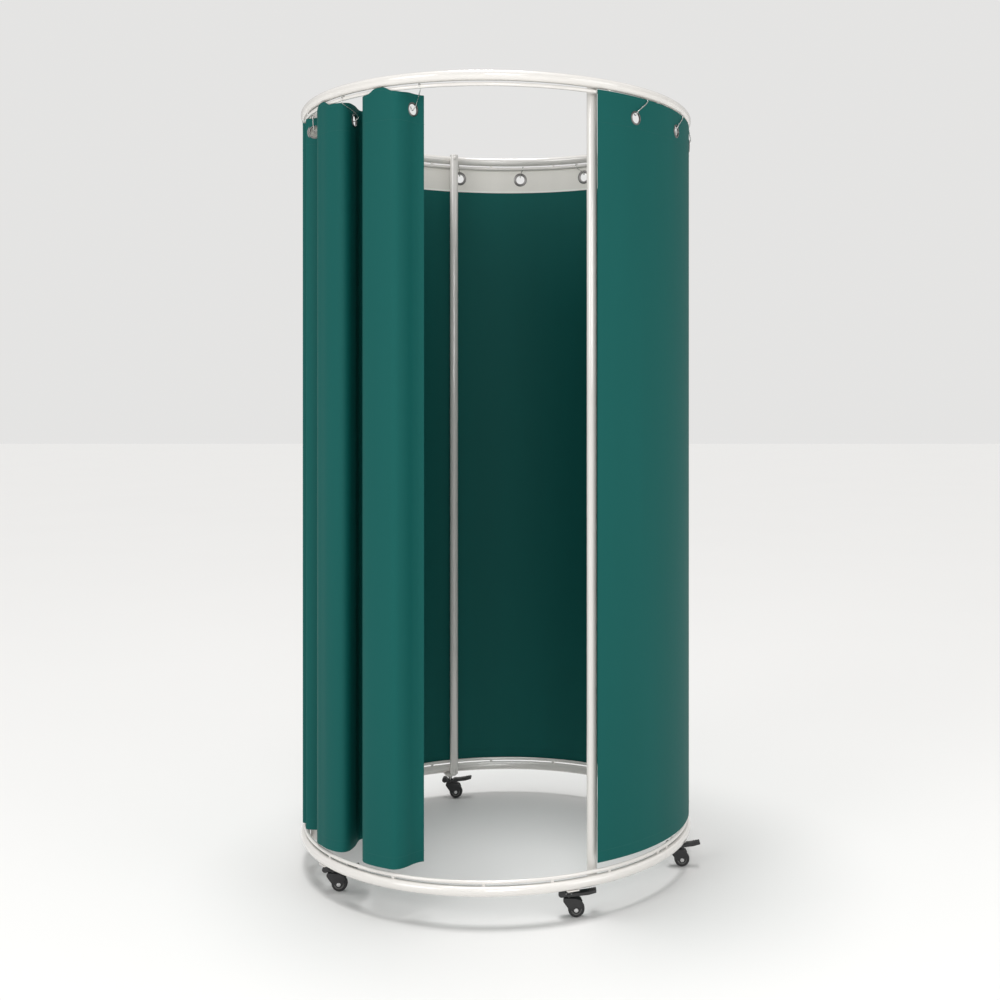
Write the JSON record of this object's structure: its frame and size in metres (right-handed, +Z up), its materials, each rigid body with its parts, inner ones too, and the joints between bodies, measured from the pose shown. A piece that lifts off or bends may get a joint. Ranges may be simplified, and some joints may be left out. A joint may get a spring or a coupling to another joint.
{
  "type": "round mobile welding curtain booth",
  "caption": "Round welding curtain screen: two tubular rings on braked swivel casters, upright posts, a taut opaque green curtain round the back and a hooked curtain drawn open at the doorway.",
  "frame": {"origin": "on the floor, at the centre of the booth", "axes": "Z up along the booth's own axis; -Y toward the open doorway, where the picture was taken from; +X to the right"},
  "size_m": [1.0697, 1.0538, 2],
  "materials": {
    "powder_coat": "off-white powder coat",
    "curtain": "dark green opaque coated cloth",
    "zinc": "zinc plated",
    "axle_steel": "plated steel",
    "black_plastic": "moulded black nylon",
    "pedal_plastic": "moulded black nylon",
    "wheel_rubber": "black rubber tread"
  },
  "bodies": {
    "frame": {"top_ring_front": "powder_coat", "top_ring_back": "powder_coat", "bottom_ring_front": "powder_coat", "bottom_ring_back": "powder_coat", "post_front_right": "powder_coat", "post_back_right": "powder_coat", "post_back_left": "powder_coat", "post_front_left": "powder_coat", "post_bolt_front_right_bottom": "zinc", "post_bolt_front_right_top": "zinc", "post_bolt_back_right_bottom": "zinc", "post_bolt_back_right_top": "zinc", "post_bolt_back_left_bottom": "zinc", "post_bolt_back_left_top": "zinc", "post_bolt_front_left_bottom": "zinc", "post_bolt_front_left_top": "zinc", "curtain_fixed_1": "curtain", "curtain_fixed_2": "curtain", "curtain_fixed_3": "curtain", "curtain_fixed_4": "curtain", "curtain_fixed_5": "curtain", "curtain_door_root": "curtain", "caster_front_right_mount": "zinc", "caster_right_mount": "zinc", "caster_back_right_mount": "zinc", "caster_back_left_mount": "zinc", "caster_left_mount": "zinc", "caster_front_left_mount": "zinc"},
    "curtain_c": {"curtain_door_c": "curtain", "curtain_hook_c": "zinc"},
    "curtain_b": {"curtain_door_b": "curtain", "curtain_hook_b": "zinc"},
    "curtain_a": {"curtain_door_a": "curtain", "curtain_hook_a": "zinc"},
    "caster_front_right_swivel": {"caster_front_right_fork": "black_plastic", "caster_front_right_axle": "axle_steel"},
    "caster_front_right_rolling_wheel": {"caster_front_right_wheel": "wheel_rubber"},
    "caster_front_right_brake": {"caster_front_right_pedal": "pedal_plastic"},
    "caster_right_swivel": {"caster_right_fork": "black_plastic", "caster_right_axle": "axle_steel"},
    "caster_right_rolling_wheel": {"caster_right_wheel": "wheel_rubber"},
    "caster_right_brake": {"caster_right_pedal": "pedal_plastic"},
    "caster_back_right_swivel": {"caster_back_right_fork": "black_plastic", "caster_back_right_axle": "axle_steel"},
    "caster_back_right_rolling_wheel": {"caster_back_right_wheel": "wheel_rubber"},
    "caster_back_right_brake": {"caster_back_right_pedal": "pedal_plastic"},
    "caster_back_left_swivel": {"caster_back_left_fork": "black_plastic", "caster_back_left_axle": "axle_steel"},
    "caster_back_left_rolling_wheel": {"caster_back_left_wheel": "wheel_rubber"},
    "caster_back_left_brake": {"caster_back_left_pedal": "pedal_plastic"},
    "caster_left_swivel": {"caster_left_fork": "black_plastic", "caster_left_axle": "axle_steel"},
    "caster_left_rolling_wheel": {"caster_left_wheel": "wheel_rubber"},
    "caster_left_brake": {"caster_left_pedal": "pedal_plastic"},
    "caster_front_left_swivel": {"caster_front_left_fork": "black_plastic", "caster_front_left_axle": "axle_steel"},
    "caster_front_left_rolling_wheel": {"caster_front_left_wheel": "wheel_rubber"},
    "caster_front_left_brake": {"caster_front_left_pedal": "pedal_plastic"}
  },
  "joints": [
    {"name": "curtain_c_draw", "type": "hinge", "parent": "frame", "child": "curtain_c", "pos_m": [0, 0, 1.9665], "axis": [0, 0, 1], "range_deg": [0, 23]},
    {"name": "curtain_b_draw", "type": "hinge", "parent": "curtain_c", "child": "curtain_b", "pos_m": [0, 0, 1.9665], "axis": [0, 0, 1], "range_deg": [0, 14]},
    {"name": "curtain_a_draw", "type": "hinge", "parent": "curtain_b", "child": "curtain_a", "pos_m": [0, 0, 1.9665], "axis": [0, 0, 1], "range_deg": [0, 9]},
    {"name": "caster_front_right_swivel_turn", "type": "hinge", "parent": "frame", "child": "caster_front_right_swivel", "pos_m": [0.19776, -0.45051, 0.0475], "axis": [0, 0, 1], "continuous": true},
    {"name": "caster_front_right_wheel_spin", "type": "hinge", "parent": "caster_front_right_swivel", "child": "caster_front_right_rolling_wheel", "pos_m": [0.21576, -0.45051, 0.02], "axis": [0, 1, 0], "continuous": true},
    {"name": "caster_front_right_brake_press", "type": "hinge", "parent": "caster_front_right_swivel", "child": "caster_front_right_brake", "pos_m": [0.19776, -0.45051, 0.0565], "axis": [0, 1, 0], "range_deg": [0, 8]},
    {"name": "caster_right_swivel_turn", "type": "hinge", "parent": "frame", "child": "caster_right_swivel", "pos_m": [0.47676, -0.12152, 0.0475], "axis": [0, 0, 1], "continuous": true},
    {"name": "caster_right_wheel_spin", "type": "hinge", "parent": "caster_right_swivel", "child": "caster_right_rolling_wheel", "pos_m": [0.49476, -0.12152, 0.02], "axis": [0, 1, 0], "continuous": true},
    {"name": "caster_right_brake_press", "type": "hinge", "parent": "caster_right_swivel", "child": "caster_right_brake", "pos_m": [0.47676, -0.12152, 0.0565], "axis": [0, 1, 0], "range_deg": [0, 8]},
    {"name": "caster_back_right_swivel_turn", "type": "hinge", "parent": "frame", "child": "caster_back_right_swivel", "pos_m": [0.33554, 0.35983, 0.0475], "axis": [0, 0, 1], "continuous": true},
    {"name": "caster_back_right_wheel_spin", "type": "hinge", "parent": "caster_back_right_swivel", "child": "caster_back_right_rolling_wheel", "pos_m": [0.35354, 0.35983, 0.02], "axis": [0, 1, 0], "continuous": true},
    {"name": "caster_back_right_brake_press", "type": "hinge", "parent": "caster_back_right_swivel", "child": "caster_back_right_brake", "pos_m": [0.33554, 0.35983, 0.0565], "axis": [0, 1, 0], "range_deg": [0, 8]},
    {"name": "caster_back_left_swivel_turn", "type": "hinge", "parent": "frame", "child": "caster_back_left_swivel", "pos_m": [-0.17712, 0.45901, 0.0475], "axis": [0, 0, 1], "continuous": true},
    {"name": "caster_back_left_wheel_spin", "type": "hinge", "parent": "caster_back_left_swivel", "child": "caster_back_left_rolling_wheel", "pos_m": [-0.15912, 0.45901, 0.02], "axis": [0, 1, 0], "continuous": true},
    {"name": "caster_back_left_brake_press", "type": "hinge", "parent": "caster_back_left_swivel", "child": "caster_back_left_brake", "pos_m": [-0.17712, 0.45901, 0.0565], "axis": [0, 1, 0], "range_deg": [0, 8]},
    {"name": "caster_left_swivel_turn", "type": "hinge", "parent": "frame", "child": "caster_left_swivel", "pos_m": [-0.47524, 0.12734, 0.0475], "axis": [0, 0, 1], "continuous": true},
    {"name": "caster_left_wheel_spin", "type": "hinge", "parent": "caster_left_swivel", "child": "caster_left_rolling_wheel", "pos_m": [-0.45724, 0.12734, 0.02], "axis": [0, 1, 0], "continuous": true},
    {"name": "caster_left_brake_press", "type": "hinge", "parent": "caster_left_swivel", "child": "caster_left_brake", "pos_m": [-0.47524, 0.12734, 0.0565], "axis": [0, 1, 0], "range_deg": [0, 8]},
    {"name": "caster_front_left_swivel_turn", "type": "hinge", "parent": "frame", "child": "caster_front_left_swivel", "pos_m": [-0.39601, -0.29196, 0.0475], "axis": [0, 0, 1], "continuous": true},
    {"name": "caster_front_left_wheel_spin", "type": "hinge", "parent": "caster_front_left_swivel", "child": "caster_front_left_rolling_wheel", "pos_m": [-0.37801, -0.29196, 0.02], "axis": [0, 1, 0], "continuous": true},
    {"name": "caster_front_left_brake_press", "type": "hinge", "parent": "caster_front_left_swivel", "child": "caster_front_left_brake", "pos_m": [-0.39601, -0.29196, 0.0565], "axis": [0, 1, 0], "range_deg": [0, 8]}
  ],
  "couplings": [
    {"joint": "curtain_b_draw", "follows": "curtain_c_draw", "ratio": 0.6087},
    {"joint": "curtain_a_draw", "follows": "curtain_c_draw", "ratio": 0.3913}
  ]
}
